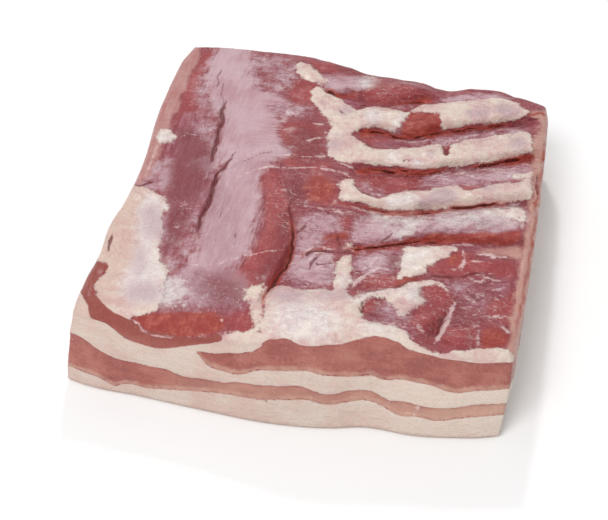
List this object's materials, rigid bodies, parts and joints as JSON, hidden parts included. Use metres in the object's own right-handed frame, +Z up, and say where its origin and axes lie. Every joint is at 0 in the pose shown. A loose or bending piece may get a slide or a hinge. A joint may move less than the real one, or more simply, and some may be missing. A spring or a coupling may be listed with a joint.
{
  "type": "pork belly slab",
  "caption": "Raw boneless pork belly slab with alternating layers of fat and lean, a long flank muscle on one side and slits where the ribs were",
  "frame": {"origin": "on the surface the slab lies on, under the middle of its bounding box", "axes": "+X across the slab to the rib side, +Y from the cut front face to the far end, +Z up"},
  "size_m": [0.2495, 0.2842, 0.0587],
  "materials": {
    "fat_base": "moist pale fat, satin",
    "lean_lower": "moist cut lean meat",
    "fat_middle": "moist pale fat, satin",
    "lean_upper": "moist cut lean meat",
    "fat_upper": "moist pale fat, satin",
    "flank_muscle": "wet lean meat under a thin film",
    "rib_side": "wet lean meat and fat, streaked"
  },
  "bodies": {
    "root": {"fat_base": "fat_base", "lean_lower": "lean_lower", "fat_middle": "fat_middle", "lean_upper": "lean_upper", "fat_upper": "fat_upper", "flank_muscle": "flank_muscle", "rib_side": "rib_side"}
  },
  "joints": []
}
